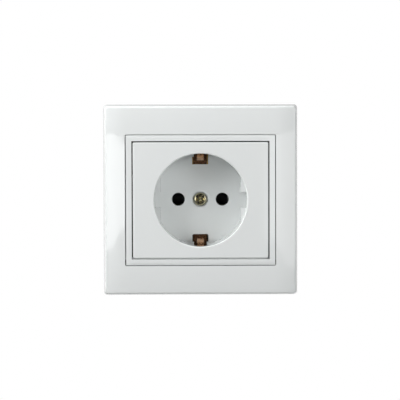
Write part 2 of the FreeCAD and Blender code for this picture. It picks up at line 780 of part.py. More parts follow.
def make_socket_cover():
    """The centre plate and the plug well, moulded in one."""
    body = new_body("socket_cover")
    block(body, "plate", middle("plate_width"), ("plate_front", "plate_back"), middle("plate_height"))
    width, height = value("plate_width"), value("plate_height")
    round_edges(
        body, "plate_corners", "plate_corner_radius",
        lambda box: upright_at(box, 0, 0, width, height),
    )
    front = value("plate_front")
    round_edges(
        body, "plate_edge", "plate_edge_radius",
        lambda box: near(box.YMin, front) and near(box.YMax, front),
    )
    skirt_width = "ledge_opening_width - 2 * skirt_gap"
    skirt_height = "ledge_opening_height - 2 * skirt_gap"
    skirt_y = ("plate_back - plate_thickness / 4", "plate_back + skirt_depth")
    block(body, "skirt", middle(skirt_width), skirt_y, middle(skirt_height))
    block(
        body, "skirt_inside",
        middle(f"{skirt_width} - 2 * skirt_wall"),
        ("plate_back", f"plate_back + skirt_depth + {PAST}"),
        middle(f"{skirt_height} - 2 * skirt_wall"), cut=True,
    )
    # A solid stub, turned with its screw boss: the well is cut out of it afterwards
    turned(body, "well_stub", ("0", "0"), [
        ("0", "plate_back - plate_thickness / 2"),
        ("well_outer_diameter / 2", "plate_back - plate_thickness / 2"),
        ("well_outer_diameter / 2", "floor_back"),
        ("boss_diameter / 2", "floor_back"),
        ("boss_diameter / 2", "boss_back"),
        ("0", "boss_back"),
    ])
    cut_plug_well(body)
    radius = value("well_diameter") / 2
    round_edges(
        body, "well_rim_round", "well_rim_radius",
        lambda box: near(box.YMin, front) and near(box.YMax, front)
        and max(-box.XMin, box.XMax, -box.ZMin, box.ZMax) < radius + 0.01,
    )
    cut_earth_windows(body)
    pin_hole = rod(body, "pin_hole", "y", ("pin_offset", "0"), "pin_hole_diameter",
                   (f"floor_front - {PAST}", f"floor_back + {PAST}"), cut=True)
    mirrored(body, "pin_holes", [pin_hole], "YZ_Plane")
    floor, hole = value("floor_front"), value("pin_hole_diameter")
    round_edges(
        body, "pin_hole_lips", "pin_hole_lip",
        lambda box: near(box.YMin, floor) and near(box.YMax, floor)
        and near(box.XLength, hole) and near(box.ZLength, hole),
    )
    rod(body, "screw_counterbore", "y", ("0", "0"), "counterbore_diameter",
        (f"floor_front - {PAST}", "floor_back"), cut=True)
    rod(body, "screw_hole", "y", ("0", "0"), "cover_screw_diameter + 2 * screw_clearance",
        (f"floor_front - {PAST}", f"boss_back + {PAST}"), cut=True)


def pan_screw(body, centre, seat, shank, head, head_height, length, towards=1, pointed=True):
    """A pan-head screw along y whose shank runs from under its head, inward or outward."""
    way = "+" if towards > 0 else "-"
    back = "-" if towards > 0 else "+"
    top, tip = f"{seat} {back} {head_height}", f"{seat} {way} ({length})"
    shank_end = [(f"{shank} / 2", tip)]
    if pointed:
        shank_end = [(f"{shank} / 2", f"{tip} {back} shank_point"), (f"{shank} / 2 - shank_point", tip)]
    turned(body, body.Name + "_form", centre, [
        ("0", top),
        (f"{head} / 2", top),
        (f"{head} / 2", seat),
        (f"{shank} / 2", seat),
        *shank_end,
        ("0", tip),
    ])
    level = number(top)
    round_edges(
        body, body.Name + "_crown", f"{head_height} * {CROWN_SHARE}",
        lambda box: near(box.YMin, level) and near(box.YMax, level) and box.XLength > 1,
    )
    return top


def cut_slot(body, name, centre, top, length, width, depth, towards, upright=False):
    x, z = centre
    y = (f"{top} - {PAST}", f"{top} + {depth}") if towards > 0 else (f"{top} - {depth}", f"{top} + {PAST}")
    long_way, short_way = (z, x) if upright else (x, z)
    spans = (about(long_way, length), about(short_way, width))
    slot_x, slot_z = (spans[1], spans[0]) if upright else spans
    block(body, name, slot_x, y, slot_z, cut=True)


def make_cover_screw():
    """The cross-recess screw that holds cover, ring and frame to the earth strip."""
    body = new_body("cover_screw")
    top = pan_screw(body, ("0", "0"), "floor_back", "cover_screw_diameter", "cover_screw_head",
                    "cover_screw_head_height", "cover_screw_length")
    # Each wing of the recess is half as large at its bottom as at its top
    long_way, short_way = "cross_recess_length", "cross_recess_width"
    for name, wing in (("recess_level", (long_way, short_way)), ("recess_upright", (short_way, long_way))):
        narrowed = [f"{size} / 2" for size in wing]
        tapered_cut(body, name, (top, f"{top} + cross_recess_depth"), wing, narrowed)


def make_support_plate():
    """The stamped steel plate that the flush box carries, with folded ears for the claws."""
    body = new_body("support_plate")
    y = ("support_front", "support_back")
    through = (f"support_front - {PAST}", f"support_back + {PAST}")
    block(body, "sheet", middle("support_width"), y, middle("support_height"))
    width, height = value("support_width"), value("support_height")
    base = body.Tip
    corners = edges_where(base, lambda box: upright_at(box, 0, 0, width, height))
    cut = body.newObject("PartDesign::Chamfer", "corner_cuts")
    cut.Base = (base, corners)
    bind(cut, "Size", "support_corner_cut")
    ear_x = about("claw_pivot_across", "ear_width")
    ear = block(body, "ear", ear_x, ("support_front + support_thickness / 2", "ear_back"),
                ("ear_inner", "ear_outer"))
    mirrored(body, "ears", [ear], "YZ_Plane", "XY_Plane")
    rod(body, "well_opening", "y", ("0", "0"), "support_opening", through, cut=True)
    slot_z = middle("2 * (arm_outer + arm_slot_clearance)")
    block(body, "arm_slots", middle("strip_width + 2 * arm_slot_clearance"), through, slot_z, cut=True)
    box_hole = rod(body, "box_screw_hole", "y", ("0", "box_screw_pitch / 2"), "box_screw_hole", through,
                   cut=True)
    mirrored(body, "box_screw_holes", [box_hole], "XY_Plane")
    claw_hole = rod(body, "claw_screw_hole", "y", ("claw_screw_across", "0"),
                    "claw_screw_diameter + 2 * thread_clearance", through, cut=True)
    mirrored(body, "claw_screw_holes", [claw_hole], "YZ_Plane")
    # Each ear is folded back out of the window beside it
    window = block(body, "ear_window", ear_x, through, ("ear_outer", "ear_outer + ear_length"), cut=True)
    mirrored(body, "ear_windows", [window], "YZ_Plane", "XY_Plane")
    rivet_hole = rod(body, "rivet_hole", "y", ("rivet_across", "rivet_up"),
                     "rivet_diameter + 2 * thread_clearance", through, cut=True)
    mirrored(body, "rivet_holes", [rivet_hole], "YZ_Plane", "XY_Plane")
    pin_hole = rod(body, "claw_pin_hole", "z", ("claw_pivot_across", "claw_pivot_depth"),
                   "claw_pin_diameter + 2 * thread_clearance", middle(f"2 * (ear_outer + {PAST})"), cut=True)
    mirrored(body, "claw_pin_holes", [pin_hole], "YZ_Plane")


def make_plate_rivets():
    """Four rivets that hold the support plate to the pillars of the base."""
    rivets = []
    head, length = value("rivet_head_height"), value("rivet_length")
    inward = FreeCAD.Vector(0, 1, 0)
    for side, sign in SIDES:
        for other, other_sign in SIDES:
            x, z = sign * value("rivet_across"), other_sign * value("rivet_up")
            seat = FreeCAD.Vector(x, value("support_front"), z)
            top = seat - inward * head
            dome = Part.makeCone(value("rivet_top") / 2, value("rivet_head") / 2, head, top, inward)
            shank = Part.makeCylinder(value("rivet_diameter") / 2, length + head / 2,
                                      seat - inward * (head / 2), inward)
            rivets.append(dome.fuse(shank).removeSplitter())
    new_feature("plate_rivets", Part.makeCompound([rivet.Solids[0] for rivet in rivets]))


def cut_earth_terminal_room(body):
    """The slot for the earth lug, the room for its clamp and the way in for its wire."""
    wide = middle("lug_width + 2 * seat_clearance")
    outside = f"base_height / 2 + {PAST}"
    run_y = (f"support_back - {PAST}", "lug_tail_back + seat_clearance")
    block(body, "lug_groove", wide, run_y, ("base_height / 2 - lug_thickness - seat_clearance", outside),
          cut=True)
    slot_y = ("lug_tail_back - lug_thickness - seat_clearance", "lug_tail_back")
    block(body, "lug_slot", wide, slot_y, ("lug_tail_end - seat_clearance", outside), cut=True)
    room_z = about("earth_screw_up", "clamp_length + 2 * seat_clearance")
    block(body, "earth_room", middle("clamp_width + 2 * seat_clearance"),
          (f"lug_tail_back - {PAST / 2}", f"base_depth + {PAST}"), room_z, cut=True)
    wire_y = ("lug_tail_back", "lug_tail_back + wire_channel_width")
    block(body, "earth_wire_channel", middle("wire_channel_width"), wire_y,
          ("earth_screw_up", outside), cut=True)
    rod(body, "earth_screw_room", "y", ("0", "earth_screw_up"),
        "cover_screw_diameter + 2 * screw_clearance",
        (f"earth_clamp_back - terminal_screw_length - {PAST}", f"base_depth - {PAST}"), cut=True)


def make_base_body():
    """The insulating base: four pillars round the well, and chambers for contacts and terminals."""
    body = new_body("base_body")
    block(body, "bulk", middle("base_width"), ("support_back", "base_depth"), middle("base_height"))
    width, height = value("base_width"), value("base_height")
    round_edges(
        body, "bulk_corners", "base_corner_radius",
        lambda box: upright_at(box, 0, 0, width, height),
    )
    back = value("base_depth")
    round_edges(
        body, "back_edge", "base_back_rounding",
        lambda box: near(box.YMin, back) and near(box.YMax, back),
    )
    past_front = f"support_back - {PAST}"
    rod(body, "well_recess", "y", ("0", "0"), "base_recess_diameter", (past_front, "cap_back"), cut=True)
    claw_gap = block(
        body, "claw_gap", ("well_diameter / 2", f"base_width / 2 + {PAST}"), (past_front, "cap_front"),
        middle("claw_gap_width"), cut=True,
    )
    mirrored(body, "claw_gaps", [claw_gap], "YZ_Plane")
    arm_gap = block(
        body, "arm_gap", middle("arm_gap_width"), (past_front, "cap_back"),
        ("base_height / 2 - arm_gap_depth", f"base_height / 2 + {PAST}"), cut=True,
    )
    mirrored(body, "arm_gaps", [arm_gap], "XY_Plane")
    rivet_hole = rod(
        body, "rivet_hole", "y", ("rivet_across", "rivet_up"), "rivet_diameter + 2 * thread_clearance",
        (past_front, f"support_front + rivet_length + {PAST / 2}"), cut=True,
    )
    mirrored(body, "rivet_holes", [rivet_hole], "YZ_Plane", "XY_Plane")
    cut_contact_chambers(body)
    screw_hole = rod(
        body, "cap_screw_hole", "y", ("cap_screw_across", "cap_screw_up"),
        "cap_screw_diameter + 2 * thread_clearance",
        (f"cap_back - {PAST}", f"cap_front + cap_screw_length + {PAST}"), cut=True,
    )
    turned_over(body, "cap_screw_holes", [screw_hole])
    rod(body, "cover_screw_room", "y", ("0", "0"), "collar_diameter + 2 * seat_clearance",
        (f"cap_back - {PAST}", f"floor_back + cover_screw_length + {PAST}"), cut=True)
    cut_earth_terminal_room(body)


def make_base_cap():
    """The round insulating cap that closes the contact chambers and carries the earth strip."""
    body = new_body("base_cap")
    rod(body, "disc", "y", ("0", "0"), "base_recess_diameter - 2 * cap_clearance",
        ("cap_front", "cap_back"))
    wide = middle(f"base_width + {2 * PAST}")
    through = (f"cap_front - {PAST}", f"cap_back + {PAST}")
    flat = block(body, "flat", wide, through, ("base_height / 2 - cap_clearance", "base_height"), cut=True)
    mirrored(body, "flats", [flat], "XY_Plane")
    past_front = f"cap_front - {PAST}"
    block(body, "strip_channel", middle("strip_width + 2 * seat_clearance"), (past_front, "strip_back"),
          middle(f"base_height + {2 * PAST}"), cut=True)
    block(body, "lug_channel", middle("lug_width + 2 * seat_clearance"), (past_front, "lug_back"),
          ("lug_start - seat_clearance", "base_height"), cut=True)
    block(body, "lug_way", middle("lug_width + 2 * seat_clearance"), through,
          ("base_height / 2 - lug_thickness - seat_clearance", "base_height"), cut=True)
    rod(body, "boss_recess", "y", ("0", "0"), "boss_diameter + 2 * seat_clearance",
        (past_front, "boss_back + seat_clearance"), cut=True)
    rod(body, "collar_hole", "y", ("0", "0"), "collar_diameter + 2 * seat_clearance", through, cut=True)
    rod(body, "rivet_room", "y", ("0", "earth_rivet_up"), "earth_rivet_head + 2 * seat_clearance",
        through, cut=True)
    pin_hole = rod(body, "cap_pin_hole", "y", ("pin_offset", "0"), "cap_pin_hole", through, cut=True)
    mirrored(body, "cap_pin_holes", [pin_hole], "YZ_Plane")
    for side, sign in SIDES:
        centre = (f"{sign} * cap_screw_across", f"{sign} * cap_screw_up")
        rod(body, f"screw_hole_{side}", "y", centre, "cap_screw_diameter + 2 * screw_clearance", through,
            cut=True)
        rod(body, f"screw_seat_{side}", "y", centre, "cap_screw_head + 2 * thread_clearance",
            ("cap_front", "cap_front + cap_screw_head_height"), cut=True,
            end_diameter="cap_screw_diameter + 2 * thread_clearance")


def make_cap_screws():
    """Two countersunk screws that hold the cap in the base."""
    screws = []
    inward = FreeCAD.Vector(0, 1, 0)
    head_height, shank = value("cap_screw_head_height"), value("cap_screw_diameter") / 2
    for side, sign in SIDES:
        x, z = sign * value("cap_screw_across"), sign * value("cap_screw_up")
        top = FreeCAD.Vector(x, value("cap_front"), z)
        head = Part.makeCone(value("cap_screw_head") / 2, shank, head_height, top, inward)
        shaft = Part.makeCylinder(shank, value("cap_screw_length") - head_height / 2,
                                  top + inward * (head_height / 2), inward)
        slot_length = value("cap_screw_head") + 2 * PAST
        slot_width = value("cap_screw_slot_width")
        slot = Part.makeBox(slot_length, value("cap_screw_slot_depth") + PAST, slot_width)
        slot.translate(top - FreeCAD.Vector(slot_length / 2, PAST, slot_width / 2))
        screws.append(head.fuse(shaft).removeSplitter().cut(slot).Solids[0])
    new_feature("cap_screws", Part.makeCompound(screws))


def make_line_contact(side, sign):
    """A folded brass contact: two leaves that grip the pin, a web and a terminal tail."""
    body = new_body(f"contact_{side}")

    def across(text):
        return f"{sign} * ({text})"

    # The two leaves and the web between them are one folded strip, seen along the pin
    near_end, web_inside = across("pin_offset - leaf_width / 2"), across("contact_web")
    web_outside = across("contact_web + leaf_thickness")
    extruded(body, f"fork_{side}", "XZ_Plane", ("-tail_back", "-contact_front"), [
        (near_end, "leaf_outer"), (web_outside, "leaf_outer"), (web_outside, "-leaf_outer"),
        (near_end, "-leaf_outer"), (near_end, "-leaf_inner"), (web_inside, "-leaf_inner"),
        (web_inside, "leaf_inner"), (near_end, "leaf_inner"),
    ])
    fold = value("contact_web") + value("leaf_thickness")
    outer = value("leaf_outer")
    round_edges(
        body, f"folds_{side}", f"leaf_thickness * {FOLD_SHARE}",
        lambda box: box.XLength < 0.01 and box.ZLength < 0.01
        and near(abs(box.XMin), fold) and near(abs(box.ZMin), outer),
    )
    front, inner = value("contact_front"), value("leaf_inner")
    base = body.Tip
    mouths = edges_where(
        base,
        lambda box: near(box.YMin, front) and near(box.YMax, front) and box.ZLength < 0.01
        and near(abs(box.ZMin), inner),
    )
    flare = body.newObject("PartDesign::Chamfer", f"mouth_{side}")
    flare.Base = (base, mouths)
    bind(flare, "Size", f"leaf_thickness * {MOUTH_SHARE}")
    tail_x = on_side(sign, "contact_web + leaf_thickness / 2", "contact_reach")
    block(body, f"tail_{side}", tail_x, ("tail_front", "tail_back"), middle("contact_width"))
    centre = (f"{sign} * terminal_offset", "0")
    rod(body, f"tapped_collar_{side}", "y", centre, "collar_diameter",
        ("tail_front - leaf_thickness", "tail_back"))
    rod(body, f"tapped_hole_{side}", "y", centre, "cover_screw_diameter + 2 * thread_clearance",
        (f"tail_front - {PAST} - leaf_thickness", f"tail_back + {PAST}"), cut=True)


def make_clamp(name, centre, front, back, upright):
    """A square pressure plate that the terminal screw pushes onto the wire."""
    body = new_body(name)
    x, z = centre
    long_way, short_way = ("clamp_width", "clamp_length") if upright else ("clamp_length", "clamp_width")
    block(body, name + "_sheet", about(x, long_way), (front, back), about(z, short_way))
    round_edges(
        body, name + "_corners", "clamp_thickness / 2",
        lambda box: box.XLength < 0.01 and box.ZLength < 0.01,
    )
    rod(body, name + "_hole", "y", centre, "cover_screw_diameter + 2 * seat_clearance",
        (f"{front} - {PAST}", f"{back} + {PAST}"), cut=True)


def make_terminal_screw(name, centre, clamp_back):
    """A slotted screw driven from the back of the base."""
    body = new_body(name)
    top = pan_screw(body, centre, clamp_back, "cover_screw_diameter", "terminal_screw_head",
                    "terminal_screw_head_height", "terminal_screw_length", towards=-1)
    cut_slot(body, name + "_slot", centre, top, f"terminal_screw_head + {PAST}", "screw_slot_width",
             "screw_slot_depth", -1)


def bent_path(points, radius):
    """A wire through the points in the y-z or x-y plane, with a tangent arc at each bend."""
    edges = []
    start = points[0]
    for before, corner, after in zip(points, points[1:], points[2:]):
        inward = (before - corner).normalize()
        outward = (after - corner).normalize()
        half_angle = inward.getAngle(outward) / 2
        setback = radius / math.tan(half_angle)
        first = corner + inward * setback
        last = corner + outward * setback
        towards = (inward + outward).normalize()
        centre = corner + towards * (radius / math.sin(half_angle))
        top = centre - towards * radius
        edges.append(Part.makeLine(start, first))
        edges.append(Part.Arc(first, top, last).toShape())
        start = last
    edges.append(Part.makeLine(start, points[-1]))
    return Part.Wire(edges)


def bent_strip(points, radius, thickness, width_way, width):
    """Sheet strip along a bent path: width_way is the direction that the strip's width takes."""
    path = bent_path(points, radius)
    start = points[0]
    along = (points[1] - points[0]).normalize()
    across = along.cross(width_way).normalize() * (thickness / 2)
    sideways = width_way * (width / 2)
    corners = [start + across + sideways, start - across + sideways,
               start - across - sideways, start + across - sideways]
    profile = Part.makePolygon(corners + corners[:1])
    return path.makePipeShell([profile], True, False)


def make_earth_strip():
    """The bronze strip behind the well, with a folded spring arm through each earth window."""
    thickness, width = value("strip_thickness"), value("strip_width")
    middle_depth = value("boss_back") + thickness / 2
    run = value("arm_inner") + thickness / 2
    across = FreeCAD.Vector(1, 0, 0)
    span = Part.makeBox(width, thickness, 2 * (run - value("arm_bend_radius") - thickness))
    span.translate(FreeCAD.Vector(-width / 2, value("boss_back"), -span.BoundBox.ZMax / 2))
    strip = span
    for sign in (-1, 1):
        def at(depth, reach):
            return FreeCAD.Vector(0, depth, sign * reach)

        shoulder = middle_depth - value("arm_bend_radius") - 3 * thickness
        root = [at(middle_depth, run - 3 * thickness), at(middle_depth, run), at(shoulder, run)]
        fold = value("arm_fold_radius")
        fold_front = -value("arm_fold_front") + thickness / 2
        arm = [
            at(shoulder + thickness, run),
            at(fold_front, run),
            at(fold_front, run - 2 * fold),
            at(value("arm_contact_depth"), value("arm_contact") + thickness / 2),
            at(value("arm_tail_depth"), value("arm_tail_reach")),
        ]
        strip = strip.fuse(bent_strip(root, value("arm_bend_radius"), thickness, across, width))
        strip = strip.fuse(
            bent_strip(arm, value("arm_curl_radius"), thickness, across, value("arm_width"))
        )
    inward = FreeCAD.Vector(0, 1, 0)
    front, clearance = value("boss_back"), value("thread_clearance")
    collar = Part.makeCylinder(value("collar_diameter") / 2, value("collar_height"),
                               FreeCAD.Vector(0, front, 0), inward)
    bore = Part.makeCylinder(value("cover_screw_diameter") / 2 + clearance,
                             value("collar_height") + 2 * PAST, FreeCAD.Vector(0, front - PAST, 0), inward)
    rivet_hole = Part.makeCylinder(value("earth_rivet_diameter") / 2 + clearance, thickness + 2 * PAST,
                                   FreeCAD.Vector(0, front - PAST, value("earth_rivet_up")), inward)
    shape = strip.fuse(collar).removeSplitter().cut(bore).cut(rivet_hole)
    new_feature("earth_strip", shape.Solids[0])


def make_earth_terminal():
    """The lug that takes the earth from the strip round the top of the base to its terminal."""
    body = new_body("earth_terminal")
    # A strip folded twice, seen from its side: depth across, height up
    top = "base_height / 2"
    extruded(body, "lug", "YZ_Plane", middle("lug_width"), [
        ("strip_back", "lug_start"), ("lug_back", "lug_start"),
        ("lug_back", f"{top} - lug_thickness"),
        ("lug_tail_back - lug_thickness", f"{top} - lug_thickness"),
        ("lug_tail_back - lug_thickness", "lug_tail_end"), ("lug_tail_back", "lug_tail_end"),
        ("lug_tail_back", top), ("strip_back", top),
    ])
    height = value("base_height") / 2
    round_edges(
        body, "lug_folds", f"lug_thickness * {FOLD_SHARE}",
        lambda box: near(box.ZMin, height) and near(box.ZMax, height) and box.YLength < 0.01,
    )
    rod(body, "lug_rivet_hole", "y", ("0", "earth_rivet_up"), "earth_rivet_diameter + 2 * thread_clearance",
        (f"strip_back - {PAST}", f"lug_back + {PAST}"), cut=True)
    rod(body, "lug_tapped_hole", "y", ("0", "earth_screw_up"),
        "cover_screw_diameter + 2 * thread_clearance",
        (f"lug_tail_back - lug_thickness - {PAST}", f"lug_tail_back + {PAST}"), cut=True)


def make_earth_rivet():
    """The rivet that joins the lug to the strip."""
    body = new_body("earth_rivet")
    shank, head, narrow = "earth_rivet_diameter / 2", "earth_rivet_head / 2", "earth_rivet_top / 2"
    front, back = "boss_back - earth_rivet_head_height", "lug_back + earth_rivet_head_height"
    turned(body, "rivet", ("0", "earth_rivet_up"), [
        ("0", front), (narrow, front), (head, "boss_back"), (shank, "boss_back"),
        (shank, "lug_back"), (head, "lug_back"), (narrow, back), ("0", back),
    ])


def make_claw(side, sign):
    """A spreader claw: lever, curl round its pin, arm and toothed foot, folded from one strip."""
    up = FreeCAD.Vector(0, 0, 1)
    thickness, width = value("claw_thickness"), value("claw_width")
    pivot_x, pivot_y = value("claw_pivot_across"), value("claw_pivot_depth")
    curl = value("claw_curl_radius")

    def at(across, depth):
        return FreeCAD.Vector(sign * across, depth, 0)

    lever = Part.makeBox(pivot_x - value("claw_lever_reach"), thickness, width)
    low_x = value("claw_lever_reach") if sign > 0 else -pivot_x
    lever.translate(FreeCAD.Vector(low_x, pivot_y - thickness / 2, -width / 2))
    barrel = Part.makeCylinder(curl, width, at(pivot_x, pivot_y) - up * (width / 2), up)
    arm = bent_strip(
        [
            at(pivot_x + curl - thickness / 2, pivot_y),
            at(value("claw_arm_end_across"), value("claw_arm_end_depth")),
            at(value("claw_foot_across"), value("claw_foot_depth")),
        ],
        thickness, thickness, up, width,
    )
    shape = barrel.fuse(lever).fuse(arm).removeSplitter()
    bore = Part.makeCylinder(value("claw_pin_diameter") / 2 + value("claw_pin_clearance"), width + 2 * PAST,
                             at(pivot_x, pivot_y) - up * (width / 2 + PAST), up)
    shape = shape.cut(bore)
    # Three teeth are left between two notches in the foot's outer edge
    root, mouth = value("claw_foot_across") - value("claw_tooth_depth"), value("claw_foot_across") + PAST
    past_foot = 2 * thickness
    front = value("claw_foot_depth") - past_foot
    half_notch = value("claw_notch_width") / 2
    for place in (-1, 1):
        height = place * width / 4
        corners = [
            FreeCAD.Vector(sign * across, front, up_from_middle)
            for across, up_from_middle in (
                (mouth, height - half_notch), (root, height), (mouth, height + half_notch),
            )
        ]
        notch = Part.Face(Part.makePolygon(corners + corners[:1]))
        shape = shape.cut(notch.extrude(FreeCAD.Vector(0, 2 * past_foot, 0)))
    new_feature(f"claw_{side}", shape.Solids[0])


def make_claw_pin(side, sign):
    """The headed pin that a claw turns on, held in the ears of the support plate."""
    body = new_body(f"claw_pin_{side}")
    centre = (f"{sign} * claw_pivot_across", "claw_pivot_depth")
    rod(body, f"pin_{side}", "z", centre, "claw_pin_diameter",
        middle("2 * (ear_outer + claw_pin_head_height)"))
    for other, other_sign in SIDES:
        z = on_side(other_sign, "ear_outer", "ear_outer + claw_pin_head_height")
        rod(body, f"pin_head_{side}_{other}", "z", centre, "claw_pin_head", z)


def make_claw_screw(side, sign):
    """The round-tipped screw that pushes a claw's lever inward."""
    body = new_body(f"claw_screw_{side}")
    centre = (f"{sign} * claw_screw_across", "0")
    length = "claw_screw_tip - claw_screw_diameter / 2 - claw_screw_head_back"
    top = pan_screw(body, centre, "claw_screw_head_back", "claw_screw_diameter", "claw_screw_head",
                    "claw_screw_head_height", length, pointed=False)
    tip = body.newObject("PartDesign::AdditiveSphere", f"tip_{side}")
    bind(tip, "Radius", "claw_screw_diameter / 2")
    bind(tip, "Placement.Base.x", centre[0])
    bind(tip, "Placement.Base.y", "claw_screw_tip - claw_screw_diameter / 2")
    cut_slot(body, f"claw_slot_{side}", centre, top, f"claw_screw_head + {PAST}", "screw_slot_width",
             "screw_slot_depth", 1)


def make_all():
    make_cover_frame()
    make_insert_ring()
    make_socket_cover()
    make_cover_screw()
    make_support_plate()
    make_plate_rivets()
    make_base_body()
    make_base_cap()
    make_cap_screws()
    make_earth_strip()
    make_earth_terminal()
    make_earth_rivet()
    make_clamp("earth_clamp", ("0", "earth_screw_up"), "earth_clamp_front", "earth_clamp_back", True)
    make_terminal_screw("earth_screw", ("0", "earth_screw_up"), "earth_clamp_back")
    for side, sign in SIDES:
        terminal = (f"{sign} * terminal_offset", "0")
        make_line_contact(side, sign)
        make_clamp(f"terminal_clamp_{side}", terminal, "clamp_front", "clamp_back", False)
        make_terminal_screw(f"terminal_screw_{side}", terminal, "clamp_back")
        make_claw(side, sign)
        make_claw_pin(side, sign)
        make_claw_screw(side, sign)
    document.recompute()


def check_all():
    """Stop on anything that failed to build, or a cut that took nothing away."""
    for thing in document.Objects:
        if "Invalid" in thing.State or "Error" in thing.State:
            raise RuntimeError(f"{thing.Name} failed: {thing.State}")
        if thing.TypeId.startswith("PartDesign::Subtractive") or thing.TypeId == "PartDesign::Pocket":
            if thing.Shape.Volume > thing.BaseFeature.Shape.Volume - 1e-4:
                raise RuntimeError(f"{thing.Name} cuts nothing")
    for name, thing in nodes.items():
        if thing.Shape.isNull() or not thing.Shape.isValid():
            raise RuntimeError(f"{name} has no valid shape")
        print(name, len(thing.Shape.Solids), round(thing.Shape.Volume, 2))


def write_all():
    os.makedirs("parts", exist_ok=True)
    for name, thing in nodes.items():
        thing.Shape.exportStep(f"parts/{name}.step")


fill_sheets()
make_all()
check_all()
write_all()
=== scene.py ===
import json
import math

import bpy
from mathutils import Matrix, Vector

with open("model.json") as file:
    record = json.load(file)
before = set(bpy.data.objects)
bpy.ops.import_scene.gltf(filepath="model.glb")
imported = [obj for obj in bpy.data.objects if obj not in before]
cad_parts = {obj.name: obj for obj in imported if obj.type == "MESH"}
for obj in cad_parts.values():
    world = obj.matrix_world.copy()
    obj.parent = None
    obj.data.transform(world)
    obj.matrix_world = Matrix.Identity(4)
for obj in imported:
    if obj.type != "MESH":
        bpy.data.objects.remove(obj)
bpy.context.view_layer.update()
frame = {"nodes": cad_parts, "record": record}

# Flush wall socket with a round plug well, seen from straight in front.
# The origin is the middle of the wall surface, +Z is up and the front faces -Y.

MM = 0.001

# The photograph's view, worked out from the two pin holes and the frame's outline
CAMERA_TARGET = Vector((-0.25 * MM, -9.8 * MM, 0.11 * MM))
CAMERA_DISTANCE = 515 * MM
CAMERA_AZIMUTH = math.radians(-0.5)
CAMERA_ELEVATION = math.radians(1.5)
CAMERA_ROLL = math.radians(-0.17)
CAMERA_LENS = 110.8
SENSOR_WIDTH = 36.0
NEAREST_SEEN = 0.01

# The floor lies this far below the socket, and fades from a radius to its edge
FLOOR_BELOW = 0.6
FLOOR_SIZE = 2.4
FLOOR_FADE_FROM = 0.2

# Surroundings: how bright they are beside the socket and high on the paper behind it, and the
# steps in a direction's Y and Z over which each of these comes in
SIDE_BRIGHTNESS = 0.22
SIDE_FROM, SIDE_FULL = -0.65, -0.25
PAPER_TOP_BRIGHTNESS = 0.5
PAPER_FROM, PAPER_FULL = 0.8, 0.93
PAPER_BOTTOM, PAPER_TOP = -0.3, 0.3

ABS_IOR = 1.53
THERMOPLASTIC_IOR = 1.55

# Soft noise hardly leaves this middle part of its range
NOISE_LOW, NOISE_HIGH = 0.3, 0.7

# Fine scratches in the metals: their spacing, and how many times longer than wide they are
SCRATCH_SPACING = 1.2 * MM
SCRATCH_LENGTHENING = 14.0

# Where a plug's earth contacts rub the strip and a painted highlight brightens its lit tips: half the
# band's width, its distance from the axis, the softness of its edge, the spacing of the lines in it and
# their scale lengthwise
RUBBED_AND_LIT_HALF = 1.35 * MM
RUBBED_AND_LIT_FROM = 16.9 * MM
RUBBED_AND_LIT_EDGE = 0.15 * MM
RUBBED_LINES = 0.4 * MM
RUBBED_SCALE_ALONG = 0.06

# Half the width and height of the middle lines of the gaps inside and outside the ring
GAP_X = 28.6 * MM
GAP_Z = 24.5 * MM
GAP_HALF = 0.25 * MM
OUTER_GAP_X = 31.51 * MM
OUTER_GAP_Z = 27.41 * MM
OUTER_GAP_HALF = 0.15 * MM

# Depths between which the painted shade in the gaps grows dense, and the width of its soft edge
GAP_SHADE_FROM = -9.75 * MM
GAP_SHADE_FULL = -9.5 * MM
GAP_SHADE_EDGE = 0.1 * MM


def from_hex(text):
    """An sRGB hex colour as the linear numbers that the shaders take."""
    channels = [int(text[start:start + 2], 16) / 255 for start in (0, 2, 4)]
    linear = [c / 12.92 if c <= 0.04045 else ((c + 0.055) / 1.055) ** 2.4 for c in channels]
    return (*linear, 1.0)


def add_node(tree, kind, inputs=None, **settings):
    """A node with its settings, each of its inputs being a value or another node's output."""
    node = tree.nodes.new(kind)
    for name, setting in settings.items():
        setattr(node, name, setting)
    for name, source in (inputs or {}).items():
        if isinstance(source, bpy.types.NodeSocket):
            tree.links.new(source, node.inputs[name])
        else:
            node.inputs[name].default_value = source
    return node


def new_material(name):
    """An empty material, its tree, and the place on the piece that its patterns follow."""
    material = bpy.data.materials.new(name)
    material.use_nodes = True
    tree = material.node_tree
    tree.nodes.clear()
    place = add_node(tree, "ShaderNodeTexCoord").outputs["Object"]
    return material, tree, place


def give_surface(tree, inputs):
    """The surface of a material, from the inputs of its shader."""
    shader = add_node(tree, "ShaderNodeBsdfPrincipled", inputs)
    add_node(tree, "ShaderNodeOutputMaterial", {"Surface": shader.outputs["BSDF"]})


def mottled_colour(tree, place, size, detail, first, second):
    """A colour that drifts between two in soft patches of a size."""
    patches = add_node(tree, "ShaderNodeTexNoise", {"Vector": place, "Scale": 1 / size, "Detail": detail})
    return add_node(
        tree, "ShaderNodeMix",
        {"Factor": patches.outputs["Fac"], "A": from_hex(first), "B": from_hex(second)},
        data_type="RGBA",
    ).outputs["Result"]


def patchy(tree, place, size, detail, low, high, harshness=0.5):
    """A value that drifts between two limits in patches of a size."""
    patches = add_node(
        tree, "ShaderNodeTexNoise",
        {"Vector": place, "Scale": 1 / size, "Detail": detail, "Roughness": harshness},
    )
    return add_node(
        tree, "ShaderNodeMapRange",
        {
            "Value": patches.outputs["Fac"], "From Min": NOISE_LOW, "From Max": NOISE_HIGH,
            "To Min": low, "To Max": high,
        },
    ).outputs["Result"]


def relief(tree, place, size, depth, detail, harshness=0.5, under=None):
    """Random unevenness of a size and depth in metres, on top of another where given."""
    heights = add_node(
        tree, "ShaderNodeTexNoise",
        {"Vector": place, "Scale": 1 / size, "Detail": detail, "Roughness": harshness},
    )
    inputs = {"Height": heights.outputs["Fac"], "Distance": depth}
    if under is not None:
        inputs["Normal"] = under
    return add_node(tree, "ShaderNodeBump", inputs).outputs["Normal"]


